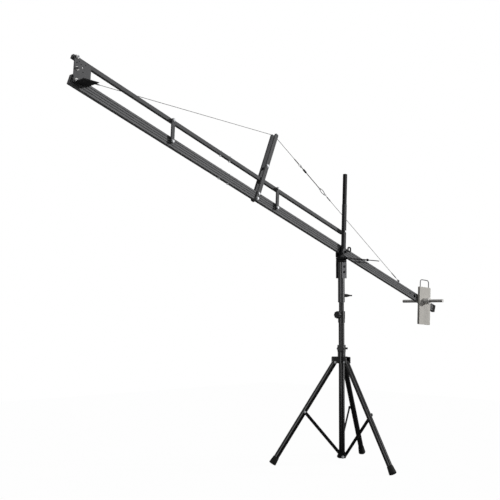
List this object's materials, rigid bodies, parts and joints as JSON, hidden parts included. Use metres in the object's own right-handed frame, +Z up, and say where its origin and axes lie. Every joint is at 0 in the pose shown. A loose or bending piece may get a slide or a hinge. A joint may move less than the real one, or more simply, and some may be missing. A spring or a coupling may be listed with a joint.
{
  "type": "camera jib crane",
  "caption": "Counterweighted parallelogram camera jib with wire stays, camera tray, pan and tilt head and weight plate on a telescoping tripod stand.",
  "frame": {"origin": "middle of the whole crane's box at floor level; the stand's axis is at X = 0.4872, Y = 0.0774", "axes": "+Z up, +X from the camera end towards the weights, -Y the side that carries the links, mast and weight plate"},
  "size_m": [3.1718, 0.764, 2.1783],
  "materials": {
    "gloss_black": "gloss",
    "satin_grey": "satin",
    "black_anodised": "satin anodised",
    "grey_anodised": "satin anodised",
    "black_fittings": "satin",
    "rubber": "matte",
    "knob_plastic": "matte",
    "zinc": "zinc plated",
    "wire": "bare wire",
    "weight_steel": "brushed, clear coated"
  },
  "bodies": {
    "stand": {"stand_tube": "gloss_black", "lower_hub": "gloss_black", "pole_collar": "gloss_black"},
    "leg_hub_body": {"leg_hub": "gloss_black"},
    "leg_lock": {"leg_lock_knob": "knob_plastic"},
    "pole_lock": {"pole_lock_knob": "knob_plastic"},
    "pole": {"inner_pole": "gloss_black"},
    "column": {"column_sleeve": "satin_grey", "bracket_plate_near": "grey_anodised", "bracket_plate_far": "grey_anodised", "bracket_bolt_lower": "black_fittings", "bracket_bolt_upper": "black_fittings", "turntable_base": "black_fittings"},
    "column_lever": {"column_clamp_lever": "knob_plastic"},
    "pan_head": {"turntable_top": "black_fittings", "pan_lever": "black_fittings", "yoke": "black_fittings", "tilt_axle": "zinc", "mast": "grey_anodised", "mast_extension": "black_anodised", "mast_pivot_bolt": "zinc"},
    "tilt_lock": {"brake_disc": "grey_anodised", "tilt_lock_handle": "black_fittings"},
    "arm": {"main_arm_front": "black_anodised", "main_arm_rear": "black_anodised", "main_arm_splice": "zinc", "main_arm_front_cap": "knob_plastic", "main_arm_rear_cap": "knob_plastic", "king_leg_near": "black_anodised", "king_leg_far": "black_anodised", "king_web": "black_anodised", "front_stay": "wire", "turnbuckle": "zinc", "snap_hook": "zinc", "rear_stay": "wire", "weight_bar": "zinc", "head_pivot_bolt_lower": "zinc"},
    "upper_bar": {"upper_bar_front": "black_anodised", "upper_bar_rear": "black_anodised", "upper_bar_splice": "zinc", "upper_bar_front_cap": "knob_plastic"},
    "link_front_body": {"link_front": "black_anodised"},
    "link_rear_body": {"link_rear": "black_anodised"},
    "camera_end": {"head_plate": "grey_anodised", "camera_tray": "black_anodised", "head_pivot_bolt_upper": "zinc"},
    "weight": {"weight_plate": "weight_steel", "weight_bail": "zinc"},
    "weight_lock": {"weight_nut": "zinc"},
    "leg_1_body": {"leg_1": "gloss_black", "foot_1": "rubber"},
    "brace_1_body": {"brace_1": "gloss_black"},
    "leg_2_body": {"leg_2": "gloss_black", "foot_2": "rubber"},
    "brace_2_body": {"brace_2": "gloss_black"},
    "leg_3_body": {"leg_3": "gloss_black", "foot_3": "rubber"},
    "brace_3_body": {"brace_3": "gloss_black"}
  },
  "joints": [
    {"name": "leg_hub_slide", "type": "slide", "parent": "stand", "child": "leg_hub_body", "axis": [0, 0, 1], "range_m": [0, 0.137]},
    {"name": "leg_1_hinge", "type": "hinge", "parent": "leg_hub_body", "child": "leg_1_body", "pos_m": [0.45167, 0.10657, 0.645], "axis": [-0.6347, -0.7727, 0], "range_deg": [0, 28]},
    {"name": "brace_1_hinge", "type": "hinge", "parent": "stand", "child": "brace_1_body", "pos_m": [0.48721, 0.07737, 0.05], "axis": [-0.6347, -0.7727, 0], "range_deg": [-30, 0]},
    {"name": "leg_2_hinge", "type": "hinge", "parent": "leg_hub_body", "child": "leg_2_body", "pos_m": [0.4797, 0.03199, 0.645], "axis": [0.9866, -0.1633, 0], "range_deg": [0, 28]},
    {"name": "brace_2_hinge", "type": "hinge", "parent": "stand", "child": "brace_2_body", "pos_m": [0.48721, 0.07737, 0.05], "axis": [0.9866, -0.1633, 0], "range_deg": [-30, 0]},
    {"name": "leg_3_hinge", "type": "hinge", "parent": "leg_hub_body", "child": "leg_3_body", "pos_m": [0.53027, 0.09355, 0.645], "axis": [-0.3518, 0.9361, 0], "range_deg": [0, 28]},
    {"name": "brace_3_hinge", "type": "hinge", "parent": "stand", "child": "brace_3_body", "pos_m": [0.48721, 0.07737, 0.05], "axis": [-0.3518, 0.9361, 0], "range_deg": [-30, 0]},
    {"name": "leg_lock_turn", "type": "hinge", "parent": "leg_hub_body", "child": "leg_lock", "pos_m": [0.48721, 0.07737, 0.7325], "axis": [-0.866, -0.5, 0], "continuous": true},
    {"name": "pole_lock_turn", "type": "hinge", "parent": "stand", "child": "pole_lock", "pos_m": [0.48721, 0.07737, 0.947], "axis": [-1, 0, 0], "continuous": true},
    {"name": "pole_slide", "type": "slide", "parent": "stand", "child": "pole", "axis": [0, 0, 1], "range_m": [-0.05, 0.45]},
    {"name": "column_turn", "type": "hinge", "parent": "pole", "child": "column", "pos_m": [0.48721, 0.07737, 1.1], "axis": [0, 0, 1], "continuous": true},
    {"name": "column_lever_turn", "type": "hinge", "parent": "column", "child": "column_lever", "pos_m": [0.48721, 0.07737, 1.072], "axis": [0.7071, -0.7071, 0], "continuous": true},
    {"name": "pan", "type": "hinge", "parent": "column", "child": "pan_head", "pos_m": [0.48721, 0.07737, 1.3027], "axis": [0, 0, 1], "continuous": true},
    {"name": "tilt_lock_turn", "type": "hinge", "parent": "pan_head", "child": "tilt_lock", "pos_m": [0.4725, 0.07737, 1.35147], "axis": [0, -1, 0], "range_deg": [-40, 60]},
    {"name": "tilt", "type": "hinge", "parent": "pan_head", "child": "arm", "pos_m": [0.47321, 0.07737, 1.36846], "axis": [0, 1, 0], "range_deg": [-44.5, 4.5]},
    {"name": "upper_bar_hinge", "type": "hinge", "parent": "pan_head", "child": "upper_bar", "pos_m": [0.47807, 0.07737, 1.48436], "axis": [0, 1, 0], "range_deg": [-44.6, 4.6]},
    {"name": "link_front_hinge", "type": "hinge", "parent": "arm", "child": "link_front_body", "pos_m": [-0.95876, 0.07737, 1.84759], "axis": [0, 1, 0], "range_deg": [-4.6, 44.6]},
    {"name": "link_rear_hinge", "type": "hinge", "parent": "arm", "child": "link_rear_body", "pos_m": [-0.14889, 0.07737, 1.57661], "axis": [0, 1, 0], "range_deg": [-4.6, 44.6]},
    {"name": "head_hinge", "type": "hinge", "parent": "arm", "child": "camera_end", "pos_m": [-1.5562, 0.07737, 2.04749], "axis": [0, 1, 0], "range_deg": [-4.6, 44.6]},
    {"name": "weight_hinge", "type": "hinge", "parent": "arm", "child": "weight", "pos_m": [1.41395, 0.07737, 1.05369], "axis": [0, 1, 0], "continuous": true},
    {"name": "weight_nut_turn", "type": "hinge", "parent": "arm", "child": "weight_lock", "pos_m": [1.41395, 0.07737, 1.05369], "axis": [0, -1, 0], "continuous": true}
  ],
  "couplings": [
    {"joint": "leg_1_hinge", "follows": "leg_hub_slide", "rad_per_m": 3.4663},
    {"joint": "brace_1_hinge", "follows": "leg_hub_slide", "rad_per_m": -3.6312},
    {"joint": "leg_2_hinge", "follows": "leg_hub_slide", "rad_per_m": 3.4663},
    {"joint": "brace_2_hinge", "follows": "leg_hub_slide", "rad_per_m": -3.6312},
    {"joint": "leg_3_hinge", "follows": "leg_hub_slide", "rad_per_m": 3.4663},
    {"joint": "brace_3_hinge", "follows": "leg_hub_slide", "rad_per_m": -3.6312},
    {"joint": "upper_bar_hinge", "follows": "tilt", "ratio": 1},
    {"joint": "link_front_hinge", "follows": "tilt", "ratio": -1},
    {"joint": "link_rear_hinge", "follows": "tilt", "ratio": -1},
    {"joint": "head_hinge", "follows": "tilt", "ratio": -1}
  ]
}
